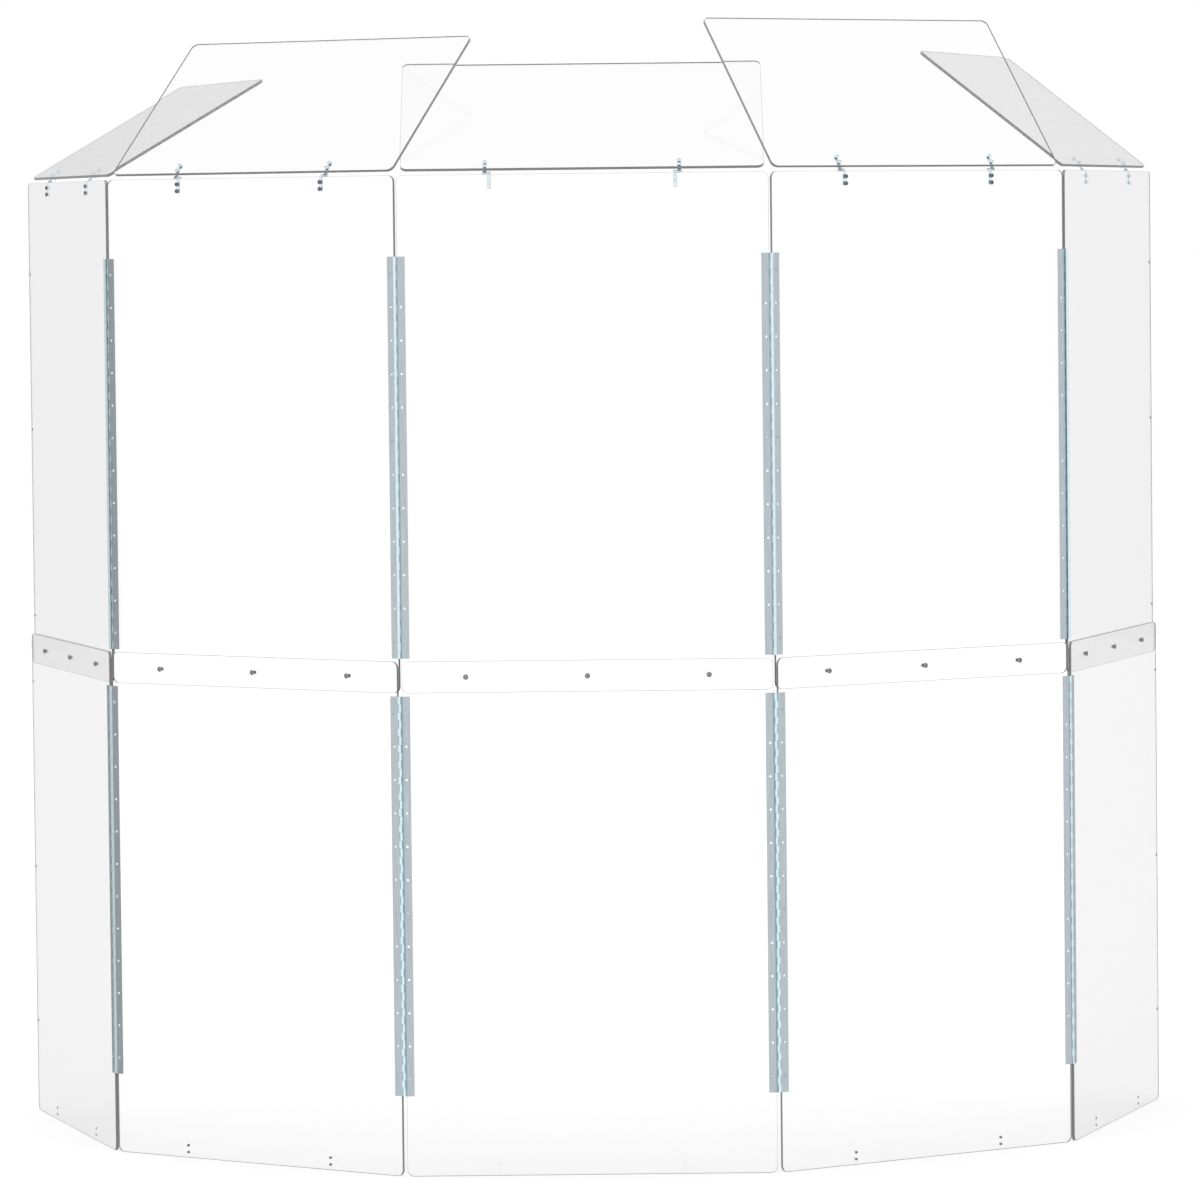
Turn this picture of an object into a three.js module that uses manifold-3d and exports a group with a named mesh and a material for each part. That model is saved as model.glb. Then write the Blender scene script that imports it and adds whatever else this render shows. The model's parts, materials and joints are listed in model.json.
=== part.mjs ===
// A folding drum shield: five clear panels hinged side by side, with a tilting deflector on each.
// A panel is an upper and a lower sheet, bolted together where they overlap at mid height.
// The lower sheets are the upper ones turned upside down, and lie in front of them.
// All hinges are on the sheets' front faces, and the upper and lower hinges of a fold share an axis.
// Millimetres, +Z up. +X is to the right and -Y to the front, where the listeners are.
// The origin is the middle of the centre panel's bottom edge.
import * as THREE from "three";
import { mergeVertices } from "three/addons/utils/BufferGeometryUtils.js";
import Module from "manifold-3d";

const wasm = await Module();
wasm.setup();

// Gaps between faces that are fastened together, and between hinge parts that turn
const CONTACT_GAP = 0.3;
const RUNNING_GAP = 0.4;

// Sheets
const SHEET_WIDTH = 610;
const SHEET_HEIGHT = 850;
const SHEET_THICKNESS = 5;
const SHEET_CORNER_RADIUS = 11;
const SHEET_GAP = 8;
const SHEET_OVERLAP = 52;

// How far each panel is folded inwards from its neighbour nearer the centre
const LEFT_MID_FOLD_DEGREES = 36;
const LEFT_WING_FOLD_DEGREES = 37;
const RIGHT_MID_FOLD_DEGREES = 35;
const RIGHT_WING_FOLD_DEGREES = 37;

// How far each deflector rises above level. The mid ones pass above their neighbours' corners.
const LEFT_WING_TILT_DEGREES = 30;
const LEFT_MID_TILT_DEGREES = 45;
const CENTRE_TILT_DEGREES = 34;
const RIGHT_MID_TILT_DEGREES = 52;
const RIGHT_WING_TILT_DEGREES = 38;

// Deflectors, each a little narrower than its sheet at both ends, to pass its neighbours
const DEFLECTOR_END_TRIM = 7;
const DEFLECTOR_DEPTH = 315;
const DEFLECTOR_THICKNESS = 5;
const DEFLECTOR_SETBACK = 3.7;

// Fold hinges: two long butt hinges on each fold, one on the upper sheets and one on the lower.
// A hinge starts well inside its sheet's free end and stops just short of the overlap.
// The upper hinges' barrels stand in front of their leaves and the lower ones' behind theirs.
const FOLD_HINGE_INSET = 133;
const FOLD_HINGE_CLEARANCE = 5;
const FOLD_HINGE_ROWS = 12;
const RIVETED_ROWS = [1, 6, 12];
const FOLD_KNUCKLES = 8;
const FOLD_LEAF_WIDTH = 17;
const FOLD_LEAF_THICKNESS = 1.2;
const FOLD_BARREL_RADIUS = 2.4;
const FOLD_PIN_RADIUS = 1.2;
const FOLD_RIVET_REACH = 10;

// Rivets and small screws, whose round ends are low cones
const SMALL_SHANK_RADIUS = 1.5;
const SMALL_HOLE_RADIUS = 2.2;
const SMALL_HEAD_RADIUS = 3.6;
const SMALL_HEAD_HEIGHT = 1.8;
const SMALL_NUT_RADIUS = 3.2;
const SMALL_NUT_HEIGHT = 2.2;

// Deflector hinges: two narrow straps side by side on a short pivot, a quarter in from each end
const STRAP_WIDTH = 6.5;
const STRAP_LENGTH = 26;
const STRAP_THICKNESS = 1.5;
const STRAP_BARREL_RADIUS = 2.3;
const STRAP_PIN_RADIUS = 1.1;
const STRAP_PIN_CAP_RADIUS = 2;
const STRAP_PIN_CAP_LENGTH = 1.2;
const STRAP_HOLE_INSET = 9;
const STRAP_HOLE_PITCH = 11.5;
const PIVOT_RISE = 1.5;

// Bolts through the overlap
const BOLT_SPACING = 200;
const BOLT_SHANK_RADIUS = 2.1;
const BOLT_HOLE_RADIUS = 2.6;
const BOLT_HEAD_RADIUS = 4.5;
const BOLT_HEAD_TOP_RADIUS = 3.4;
const BOLT_HEAD_HEIGHT = 2.2;
const BOLT_NUT_RADIUS = 3.2;
const BOLT_NUT_HEIGHT = 2.6;

// Facets of round things, and how far a cut runs past what it cuts
const ARC_SEGMENTS = 3;
const SMALL_SIDES = 6;
const BARREL_SIDES = 6;
const OVERRUN = 1;

// Sizes that follow from the ones above
const PANEL_HEIGHT = 2 * SHEET_HEIGHT - SHEET_OVERLAP;
const PANEL_PITCH = SHEET_WIDTH + SHEET_GAP;
const DEFLECTOR_WIDTH = SHEET_WIDTH - 2 * DEFLECTOR_END_TRIM;
const STRAP_SPACING = SHEET_WIDTH / 2;
const SHEET_FACE = CONTACT_GAP / 2;
const SHEET_FAR_FACE = SHEET_FACE + SHEET_THICKNESS;
const SHEET_FREE_END = SHEET_HEIGHT - SHEET_OVERLAP / 2;
const FOLD_HINGE_TOP = SHEET_FREE_END - FOLD_HINGE_INSET;
const FOLD_HINGE_LENGTH = FOLD_HINGE_TOP - SHEET_OVERLAP / 2 - FOLD_HINGE_CLEARANCE;
const FOLD_HINGE_MIDDLE = FOLD_HINGE_TOP - FOLD_HINGE_LENGTH / 2;
const FOLD_ROW_PITCH = FOLD_HINGE_LENGTH / FOLD_HINGE_ROWS;
const FOLD_KNUCKLE_PITCH = FOLD_HINGE_LENGTH / FOLD_KNUCKLES;
const FOLD_LEAF_START = FOLD_BARREL_RADIUS + RUNNING_GAP;
// The fold axis is half way between the upper leaves and the lower leaves, which lie in front
const FOLD_LEAF_OFFSET = (SHEET_THICKNESS + CONTACT_GAP) / 2;
const FOLD_AXIS_SETOUT = SHEET_FACE + FOLD_LEAF_THICKNESS / 2 + FOLD_LEAF_OFFSET;
const PIVOT_OFFSET = STRAP_BARREL_RADIUS + CONTACT_GAP;
const STRAP_PITCH = STRAP_WIDTH + RUNNING_GAP;
const STRAP_SCREWS = [0, 1].map((i) => PIVOT_RISE + STRAP_HOLE_INSET + i * STRAP_HOLE_PITCH);

// The angles by panel
const FOLD_DEGREES = {
  left_mid: LEFT_MID_FOLD_DEGREES,
  left_wing: LEFT_WING_FOLD_DEGREES,
  right_mid: RIGHT_MID_FOLD_DEGREES,
  right_wing: RIGHT_WING_FOLD_DEGREES,
};
const TILT_DEGREES = {
  left_wing: LEFT_WING_TILT_DEGREES,
  left_mid: LEFT_MID_TILT_DEGREES,
  centre: CENTRE_TILT_DEGREES,
  right_mid: RIGHT_MID_TILT_DEGREES,
  right_wing: RIGHT_WING_TILT_DEGREES,
};

// Finishes, shared by every mesh's own material
const FINISHES = {
  panel_sheet: { color: 0xf1f3f3, roughness: 0.05, metalness: 0, transparent: true, opacity: 0.35 },
  deflector_sheet: { color: 0xf4f6f6, roughness: 0.05, metalness: 0, transparent: true, opacity: 0.3 },
  hinge_steel: { color: 0xb8c4cc, roughness: 0.35, metalness: 0.9 },
  strap_steel: { color: 0x9aa0a4, roughness: 0.4, metalness: 0.9 },
  bolt_steel: { color: 0x8b9094, roughness: 0.35, metalness: 0.9 },
};

// Turns a three.js geometry into a solid that can be joined and cut
function toSolid(geometry) {
  const bare = geometry.index ? geometry.toNonIndexed() : geometry;
  bare.deleteAttribute("normal");
  bare.deleteAttribute("uv");
  const merged = mergeVertices(bare);
  const triangles = [];
  for (let i = 0; i < merged.index.count; i += 3) {
    const [a, b, c] = [0, 1, 2].map((k) => merged.index.getX(i + k));
    // A lathe's triangles at its axis have two corners in one place, and are left out
    if (a !== b && b !== c && c !== a) triangles.push(a, b, c);
  }
  const vertProperties = Float32Array.from(merged.attributes.position.array);
  const triVerts = Uint32Array.from(triangles);
  return new wasm.Manifold(new wasm.Mesh({ numProp: 3, vertProperties, triVerts }));
}

// Turns a solid back into a three.js geometry
function toGeometry(solid) {
  const mesh = solid.getMesh();
  const geometry = new THREE.BufferGeometry();
  geometry.setAttribute("position", new THREE.BufferAttribute(mesh.vertProperties, 3));
  geometry.setIndex(new THREE.BufferAttribute(mesh.triVerts, 1));
  return geometry;
}

function join(geometries) {
  return geometries.map(toSolid).reduce((whole, next) => whole.add(next));
}

// A box given by its low and high corners
function box(low, high) {
  const size = high.map((value, i) => value - low[i]);
  const centre = high.map((value, i) => (value + low[i]) / 2);
  return new THREE.BoxGeometry(...size).translate(...centre);
}

// A rod along Z or X, given by its two ends on that axis
function rodZ(radius, low, high, sides) {
  const rod = new THREE.CylinderGeometry(radius, radius, high - low, sides);
  return rod.rotateX(Math.PI / 2).translate(0, 0, (low + high) / 2);
}

function rodX(radius, low, high, sides) {
  const rod = new THREE.CylinderGeometry(radius, radius, high - low, sides);
  return rod.rotateZ(Math.PI / 2).translate((low + high) / 2, 0, 0);
}

// A short rod along Y at a place in the XZ plane, to cut a hole with
function rodY(radius, x, z, low, high) {
  const rod = new THREE.CylinderGeometry(radius, radius, high - low, SMALL_SIDES);
  return rod.translate(x, (low + high) / 2, z);
}

// A rounded plate in the XZ plane with round holes, its faces at y = near and y = far
function plate({ width, bottom, top, near, far, radius, holes }) {
  const side = width / 2;
  const quarter = Math.PI / 2;
  const outline = new THREE.Shape();
  outline.absarc(side - radius, bottom + radius, radius, -quarter, 0);
  outline.absarc(side - radius, top - radius, radius, 0, quarter);
  outline.absarc(radius - side, top - radius, radius, quarter, 2 * quarter);
  outline.absarc(radius - side, bottom + radius, radius, 2 * quarter, 3 * quarter);
  outline.closePath();
  for (const { x, z, r } of holes) {
    outline.holes.push(new THREE.Path().absarc(x, z, r, 0, 4 * quarter));
  }
  const settings = { depth: far - near, bevelEnabled: false, curveSegments: ARC_SEGMENTS };
  const slab = new THREE.ExtrudeGeometry(outline, settings);
  return toGeometry(toSolid(slab.rotateX(quarter).translate(0, far, 0)));
}

// A row's distance from the hinge's middle, the rows counted from the sheet's free end
function rowOffset(row) {
  return FOLD_HINGE_LENGTH / 2 - (row - 1 / 2) * FOLD_ROW_PITCH;
}

// A panel's sheet, the upper one as it stands, from its overlapped end up to its free end
function sheetGeometry() {
  const holes = [];
  const fromEdge = FOLD_RIVET_REACH - SHEET_GAP / 2;
  for (const side of [-1, 1]) {
    for (const row of RIVETED_ROWS) {
      const x = side * (SHEET_WIDTH / 2 - fromEdge);
      holes.push({ x, z: FOLD_HINGE_MIDDLE + rowOffset(row), r: SMALL_HOLE_RADIUS });
    }
    for (const step of [0, 1]) {
      const z = SHEET_FREE_END - STRAP_HOLE_INSET - step * STRAP_HOLE_PITCH;
      holes.push({ x: (side * STRAP_SPACING) / 2, z, r: SMALL_HOLE_RADIUS });
    }
  }
  for (const place of [-1, 0, 1]) {
    holes.push({ x: place * BOLT_SPACING, z: 0, r: BOLT_HOLE_RADIUS });
  }
  return plate({
    width: SHEET_WIDTH,
    bottom: -SHEET_OVERLAP / 2,
    top: SHEET_FREE_END,
    near: SHEET_FACE,
    far: SHEET_FAR_FACE,
    radius: SHEET_CORNER_RADIUS,
    holes,
  });
}

// A deflector's sheet, upright over its pivot axis, which runs along X through the origin
function deflectorGeometry() {
  const holes = [];
  for (const side of [-1, 1]) {
    const x = side * (STRAP_SPACING / 2 + STRAP_PITCH);
    for (const z of STRAP_SCREWS) holes.push({ x, z, r: SMALL_HOLE_RADIUS });
  }
  return plate({
    width: DEFLECTOR_WIDTH,
    bottom: DEFLECTOR_SETBACK,
    top: DEFLECTOR_SETBACK + DEFLECTOR_DEPTH,
    near: -PIVOT_OFFSET - DEFLECTOR_THICKNESS,
    far: -PIVOT_OFFSET,
    radius: SHEET_CORNER_RADIUS,
    holes,
  });
}

// A rivet or small screw along Y: its head's seat at y = near, its nut's seat at y = far
function smallFastener({ x, z, near, far, headRadius, headHeight, nutRadius, nutHeight }) {
  const profile = [
    [0, near - headHeight],
    [headRadius, near],
    [SMALL_SHANK_RADIUS, near],
    [SMALL_SHANK_RADIUS, far],
    [nutRadius, far],
    [0, far + nutHeight],
  ];
  const points = profile.map(([r, y]) => new THREE.Vector2(r, y));
  return new THREE.LatheGeometry(points, SMALL_SIDES).translate(x, 0, z);
}

// One leaf of a fold hinge, reaching towards +X from the pin, behind it on an upper sheet's
// front face or in front of it on a lower sheet's. Its knuckles fill every other place.
// The pin leaf holds the pin, the free leaf is bored for it. Each row has a rivet or an empty hole.
// The rows are counted from the sheet's free end, which a leaf turned about Y has at its other end.
function foldLeafGeometry(kind, level, turned) {
  const half = FOLD_HINGE_LENGTH / 2;
  const middle = level === "upper" ? FOLD_LEAF_OFFSET : -FOLD_LEAF_OFFSET;
  const near = middle - FOLD_LEAF_THICKNESS / 2;
  const far = middle + FOLD_LEAF_THICKNESS / 2;
  const pieces = [box([FOLD_LEAF_START, near, -half], [FOLD_LEAF_WIDTH, far, half])];
  for (let place = 0; place < FOLD_KNUCKLES; place += 2) {
    const low = place * FOLD_KNUCKLE_PITCH - half + RUNNING_GAP / 2;
    const high = (place + 1) * FOLD_KNUCKLE_PITCH - half - RUNNING_GAP / 2;
    pieces.push(rodZ(FOLD_BARREL_RADIUS, low, high, BARREL_SIDES));
    pieces.push(box([0, near, low], [FOLD_LEAF_START + OVERRUN, far, high]));
    pieces.push(box([0, Math.min(near, 0), low], [FOLD_BARREL_RADIUS, Math.max(far, 0), high]));
  }
  if (kind === "pin") pieces.push(rodZ(FOLD_PIN_RADIUS, -half, half, SMALL_SIDES));
  const cuts = [];
  for (let row = 1; row <= FOLD_HINGE_ROWS; row += 1) {
    const fromBelow = turned !== (level === "lower");
    const [x, z] = [FOLD_RIVET_REACH, fromBelow ? -rowOffset(row) : rowOffset(row)];
    if (!RIVETED_ROWS.includes(row)) {
      cuts.push(rodY(SMALL_HOLE_RADIUS, x, z, near - OVERRUN, far + OVERRUN));
      continue;
    }
    const rivet = {
      x,
      z,
      near,
      far: far + CONTACT_GAP + SHEET_THICKNESS + CONTACT_GAP,
      headRadius: SMALL_HEAD_RADIUS,
      headHeight: SMALL_HEAD_HEIGHT,
      nutRadius: SMALL_NUT_RADIUS,
      nutHeight: SMALL_NUT_HEIGHT,
    };
    pieces.push(smallFastener(rivet));
  }
  if (kind === "free") {
    const boreRadius = FOLD_PIN_RADIUS + CONTACT_GAP;
    cuts.push(rodZ(boreRadius, -half - OVERRUN, half + OVERRUN, SMALL_SIDES));
  }
  return toGeometry(join(pieces).subtract(join(cuts)));
}

// One strap of a deflector hinge, hanging from its pivot, with its two screws through a sheet.
// The pivot runs along X through the origin, and the sheet's face is PIVOT_OFFSET behind it.
// The pin strap holds the pivot pin, which reaches towards outboard, and the other is bored for it.
function strapGeometry(kind, outboard, sheetThickness) {
  const side = STRAP_WIDTH / 2;
  const back = -STRAP_BARREL_RADIUS;
  const pieces = [
    rodX(STRAP_BARREL_RADIUS, -side, side, BARREL_SIDES),
    box([-side, back, -STRAP_LENGTH], [side, back + STRAP_THICKNESS, 0]),
  ];
  for (const drop of STRAP_SCREWS) {
    const screw = {
      x: 0,
      z: -drop,
      near: -PIVOT_OFFSET - sheetThickness - CONTACT_GAP,
      far: back + STRAP_THICKNESS,
      headRadius: SMALL_HEAD_RADIUS,
      headHeight: SMALL_HEAD_HEIGHT,
      nutRadius: SMALL_NUT_RADIUS,
      nutHeight: SMALL_NUT_HEIGHT,
    };
    pieces.push(smallFastener(screw));
  }
  if (kind === "bored") {
    const bore = rodX(STRAP_PIN_RADIUS + CONTACT_GAP, -side - OVERRUN, side + OVERRUN, SMALL_SIDES);
    return toGeometry(join(pieces).subtract(toSolid(bore)));
  }
  const pinEnd = side + STRAP_PITCH + RUNNING_GAP;
  const capEnd = pinEnd + STRAP_PIN_CAP_LENGTH;
  const spans = outboard > 0 ? [0, pinEnd, pinEnd, capEnd] : [-pinEnd, 0, -capEnd, -pinEnd];
  pieces.push(rodX(STRAP_PIN_RADIUS, spans[0], spans[1], SMALL_SIDES));
  pieces.push(rodX(STRAP_PIN_CAP_RADIUS, spans[2], spans[3], BARREL_SIDES));
  return toGeometry(join(pieces));
}

// A bolt through the overlap, along Y, its head to the front and its small round nut behind
function overlapBoltGeometry() {
  const seat = SHEET_FAR_FACE + CONTACT_GAP;
  const profile = [
    [0, -seat - BOLT_HEAD_HEIGHT],
    [BOLT_HEAD_TOP_RADIUS, -seat - BOLT_HEAD_HEIGHT],
    [BOLT_HEAD_RADIUS, -seat],
    [BOLT_SHANK_RADIUS, -seat],
    [BOLT_SHANK_RADIUS, seat],
    [BOLT_NUT_RADIUS, seat],
    [BOLT_NUT_RADIUS, seat + BOLT_NUT_HEIGHT],
    [0, seat + BOLT_NUT_HEIGHT],
  ];
  const points = profile.map(([r, y]) => new THREE.Vector2(r, y));
  return toGeometry(toSolid(new THREE.LatheGeometry(points, BARREL_SIDES)));
}

function piece(name, finish, geometry) {
  const mesh = new THREE.Mesh(geometry, new THREE.MeshStandardMaterial(FINISHES[finish]));
  mesh.name = name;
  return mesh;
}

// The upper or lower half of a panel, its sheet and the leaves on its two side edges.
// Its origin is the middle of the overlap, in the plane where the two sheets meet.
function halfPanel(name, level, leaves) {
  const half = new THREE.Group();
  const sheet = piece(`${name}_${level}_sheet`, "panel_sheet", sheetGeometry());
  sheet.rotation.x = level === "lower" ? Math.PI : 0;
  half.add(sheet);
  const height = level === "lower" ? -FOLD_HINGE_MIDDLE : FOLD_HINGE_MIDDLE;
  for (const { fold, kind, edge } of leaves) {
    const turned = edge > 0;
    const leafName = `${fold}_${level}_hinge_${kind}_leaf`;
    const leaf = piece(leafName, "hinge_steel", foldLeafGeometry(kind, level, turned));
    leaf.position.set((edge * PANEL_PITCH) / 2, -FOLD_AXIS_SETOUT, height);
    leaf.rotation.y = turned ? Math.PI : 0;
    half.add(leaf);
  }
  return half;
}

// A deflector on its two hinges, tilted about the pivots at the top of a panel
function deflector(name) {
  const onPanel = new THREE.Group();
  onPanel.position.set(0, SHEET_FAR_FACE + PIVOT_OFFSET, SHEET_FREE_END + PIVOT_RISE);
  const tilting = new THREE.Group();
  tilting.rotation.x = THREE.MathUtils.degToRad(TILT_DEGREES[name]) - Math.PI / 2;
  tilting.add(piece(`${name}_deflector_sheet`, "deflector_sheet", deflectorGeometry()));
  for (const [side, word] of [[-1, "left"], [1, "right"]]) {
    const lower = strapGeometry("pin", side, SHEET_THICKNESS);
    const lowerStrap = piece(`${name}_deflector_${word}_pin_strap`, "strap_steel", lower);
    lowerStrap.position.x = (side * STRAP_SPACING) / 2;
    onPanel.add(lowerStrap);
    const upper = strapGeometry("bored", side, DEFLECTOR_THICKNESS);
    const upperStrap = piece(`${name}_deflector_${word}_free_strap`, "strap_steel", upper);
    upperStrap.position.x = side * (STRAP_SPACING / 2 + STRAP_PITCH);
    upperStrap.rotation.y = Math.PI;
    tilting.add(upperStrap);
  }
  onPanel.add(tilting);
  return onPanel;
}

// A whole panel. Its origin is the middle of the overlap, as its halves' are.
function panel(name, { leaves, bolted }) {
  const whole = new THREE.Group();
  whole.add(halfPanel(name, "upper", leaves), halfPanel(name, "lower", leaves), deflector(name));
  for (const [place, word] of [[-1, "left"], [0, "middle"], [1, "right"]]) {
    if (!bolted) continue;
    const bolt = piece(`${name}_overlap_bolt_${word}`, "bolt_steel", overlapBoltGeometry());
    bolt.position.x = place * BOLT_SPACING;
    whole.add(bolt);
  }
  return whole;
}

// Hinges a panel to the left (-1) or right (1) edge of its neighbour, folded inwards
function foldOn(neighbour, side, name, contents) {
  const pin = new THREE.Group();
  pin.position.set((side * PANEL_PITCH) / 2, -FOLD_AXIS_SETOUT, 0);
  pin.rotation.z = side * THREE.MathUtils.degToRad(FOLD_DEGREES[name]);
  const added = panel(name, contents);
  added.position.set((side * PANEL_PITCH) / 2, FOLD_AXIS_SETOUT, 0);
  pin.add(added);
  neighbour.add(pin);
  return added;
}

// The centre panel holds the pins of both inner folds, and each mid panel that of an outer fold
const centre = panel("centre", {
  leaves: [
    { fold: "left_inner", kind: "pin", edge: -1 },
    { fold: "right_inner", kind: "pin", edge: 1 },
  ],
  bolted: true,
});
centre.position.set(0, SHEET_FACE + SHEET_THICKNESS / 2, PANEL_HEIGHT / 2);
for (const [side, word] of [[-1, "left"], [1, "right"]]) {
  const mid = foldOn(centre, side, `${word}_mid`, {
    leaves: [
      { fold: `${word}_inner`, kind: "free", edge: -side },
      { fold: `${word}_outer`, kind: "pin", edge: side },
    ],
    bolted: true,
  });
  foldOn(mid, side, `${word}_wing`, {
    leaves: [{ fold: `${word}_outer`, kind: "free", edge: -side }],
    bolted: false,
  });
}

const drumShield = new THREE.Group();
drumShield.add(centre);

export default drumShield;
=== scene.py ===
# A folding drum shield, dressed around its CAD frame: five clear panels hinged side by side.
# Each has an upper and a lower sheet, bolted at their overlap, and a tilting deflector on top.
# Metres and radians, in the frame's axes: +X right, -Y towards the listeners, +Z up.
import json
import math

import bpy
from mathutils import Matrix, Vector


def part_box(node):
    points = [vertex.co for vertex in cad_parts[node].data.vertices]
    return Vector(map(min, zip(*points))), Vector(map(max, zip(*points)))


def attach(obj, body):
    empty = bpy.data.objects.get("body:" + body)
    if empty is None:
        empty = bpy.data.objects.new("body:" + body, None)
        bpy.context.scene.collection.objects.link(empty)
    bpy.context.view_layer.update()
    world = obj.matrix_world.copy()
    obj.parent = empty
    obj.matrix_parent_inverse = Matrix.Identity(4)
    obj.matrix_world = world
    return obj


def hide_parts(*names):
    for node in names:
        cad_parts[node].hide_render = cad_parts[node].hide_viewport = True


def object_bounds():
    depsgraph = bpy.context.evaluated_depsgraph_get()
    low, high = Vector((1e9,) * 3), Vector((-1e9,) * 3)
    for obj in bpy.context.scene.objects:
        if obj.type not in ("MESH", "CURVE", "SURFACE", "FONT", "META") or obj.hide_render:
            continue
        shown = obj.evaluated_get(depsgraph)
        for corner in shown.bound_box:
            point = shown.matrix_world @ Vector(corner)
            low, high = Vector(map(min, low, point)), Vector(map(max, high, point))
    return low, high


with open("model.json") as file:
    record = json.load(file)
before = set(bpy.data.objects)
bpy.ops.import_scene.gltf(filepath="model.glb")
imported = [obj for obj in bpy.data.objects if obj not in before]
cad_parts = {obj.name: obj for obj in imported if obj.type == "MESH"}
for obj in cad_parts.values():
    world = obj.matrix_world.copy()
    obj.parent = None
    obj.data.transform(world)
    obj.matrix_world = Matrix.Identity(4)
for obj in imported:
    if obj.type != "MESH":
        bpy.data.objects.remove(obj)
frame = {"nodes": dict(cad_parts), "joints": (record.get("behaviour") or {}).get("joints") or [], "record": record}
cad_low, cad_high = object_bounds()

MM = 0.001
UP = Vector((0, 0, 1))
UPSIDE_DOWN = Matrix.Rotation(math.pi, 4, "X")
TURNED_OVER = Matrix.Rotation(math.pi, 4, "Y")
HALF_TURN = Matrix.Rotation(math.pi, 4, "Z")
JOINTS = {joint["name"]: joint for joint in frame["joints"]}
BODIES = frame["record"]["behaviour"]["bodies"]
BODY_OF = {node: body for body, nodes in BODIES.items() for node in nodes}
PANELS = ("left_wing", "left_mid", "centre", "right_mid", "right_wing")

# The panels whose strap screws are bright ones, as the deflectors' all are
BRIGHT_SCREW_PANELS = ("centre", "right_wing")

# Each fold's pin side and free side: the panel there, and which of its edges (-1 left, 1 right)
FOLDS = {
    "left_inner": {"pin": ("centre", -1), "free": ("left_mid", 1)},
    "left_outer": {"pin": ("left_mid", -1), "free": ("left_wing", 1)},
    "right_inner": {"pin": ("centre", 1), "free": ("right_mid", -1)},
    "right_outer": {"pin": ("right_mid", 1), "free": ("right_wing", -1)},
}

# The camera, solved from the straight edges in the photograph
CAMERA_PLACE = Vector((0.0401, -11.5575, 1.554))
CAMERA_PITCH = math.radians(-3.0)
CAMERA_YAW = math.radians(-0.09)
CAMERA_ROLL = math.radians(-0.622)
FOCAL_LENGTH_PIXELS = 7049
IMAGE_PIXELS = 1200
SENSOR_MM = 36
CAMERA_REACH = 100


def make_camera():
    """A level camera turned to its yaw and pitch, and then rolled about its own axis."""
    forward = Vector((math.sin(CAMERA_YAW), math.cos(CAMERA_YAW), math.tan(CAMERA_PITCH)))
    forward.normalize()
    right = forward.cross(UP).normalized()
    level = Matrix((right, right.cross(forward), -forward)).transposed()
    camera = bpy.data.objects.new("camera", bpy.data.cameras.new("camera"))
    camera.data.sensor_width = SENSOR_MM
    camera.data.lens = SENSOR_MM * FOCAL_LENGTH_PIXELS / IMAGE_PIXELS
    camera.data.clip_end = CAMERA_REACH
    rolled = level @ Matrix.Rotation(CAMERA_ROLL, 3, "Z")
    camera.matrix_world = Matrix.Translation(CAMERA_PLACE) @ rolled.to_4x4()
    bpy.context.scene.collection.objects.link(camera)
    bpy.context.scene.camera = camera


make_camera()


# Sizes read from the frame, in the axes that its pieces lie in
def turned_frame(origin, along):
    """A place whose x runs along a panel, y inwards to the drummer and z up."""
    inward = UP.cross(along)
    axes = Matrix((along, inward, UP)).transposed()
    return Matrix.Translation(origin) @ axes.to_4x4()


def local_box(node, place):
    """A CAD node's lowest and highest corner, measured in a place's axes."""
    to_local = place.inverted()
    corners = [to_local @ vertex.co for vertex in frame["nodes"][node].data.vertices]
    return [Vector([pick(c[i] for c in corners) for i in range(3)]) for pick in (min, max)]


def pivot_place(panel):
    """A panel's axes, from the line that its deflector tilts about."""
    tilt = JOINTS[f"{panel}_deflector_tilt"]
    return turned_frame(Vector(tilt["pos_m"]), Vector(tilt["axis"]))


def deflector_place(panel):
    """A deflector's axes, from its pivot line: x along it, z up the sheet and y through it."""
    on_panel = pivot_place(panel)
    faces = frame["nodes"][f"{panel}_deflector_sheet"].data.polygons
    normal = max(faces, key=lambda face: face.area).normal
    normal = on_panel.to_3x3().transposed() @ normal
    return on_panel @ Matrix.Rotation(math.atan(normal.z / normal.y), 4, "X")


upper_low, upper_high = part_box("centre_upper_sheet")
lower_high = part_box("centre_lower_sheet")[1]
SHEET_WIDTH = upper_high.x - upper_low.x
OVERLAP_MIDDLE = Vector((0, (lower_high.y + upper_low.y) / 2, (lower_high.z + upper_low.z) / 2))
PIVOT_FROM_OVERLAP = Vector(JOINTS["centre_deflector_tilt"]["pos_m"]) - OVERLAP_MIDDLE
HALF_PITCH = JOINTS["right_inner_fold"]["pos_m"][0]
AXIS_SETOUT = OVERLAP_MIDDLE.y - JOINTS["right_inner_fold"]["pos_m"][1]


def panel_place(panel):
    """A panel's axes, from the middle of its overlap in the plane where its two sheets meet."""
    return pivot_place(panel) @ Matrix.Translation(-PIVOT_FROM_OVERLAP)


def half_place(panel, level):
    """The axes of a panel's upper half, or of its lower half, which is the same turned over."""
    place = panel_place(panel)
    return place @ UPSIDE_DOWN if level == "lower" else place


CENTRE = panel_place("centre")
SHEET_LOW, SHEET_HIGH = local_box("centre_upper_sheet", CENTRE)
LEAF_LOW, LEAF_HIGH = local_box("right_inner_upper_hinge_pin_leaf", CENTRE)
DEFLECTOR_LOW, DEFLECTOR_HIGH = local_box("centre_deflector_sheet", deflector_place("centre"))
BOLT_LOW, BOLT_HIGH = local_box("centre_overlap_bolt_right", CENTRE)
BOLT_SPACING = (BOLT_LOW.x + BOLT_HIGH.x) / 2

# Gaps between fastened faces, beside hinge knuckles, and beside the tongues between these
CONTACT_GAP = 0.3 * MM
KNUCKLE_GAP = 0.15 * MM
TONGUE_GAP = 0.05 * MM

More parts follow.
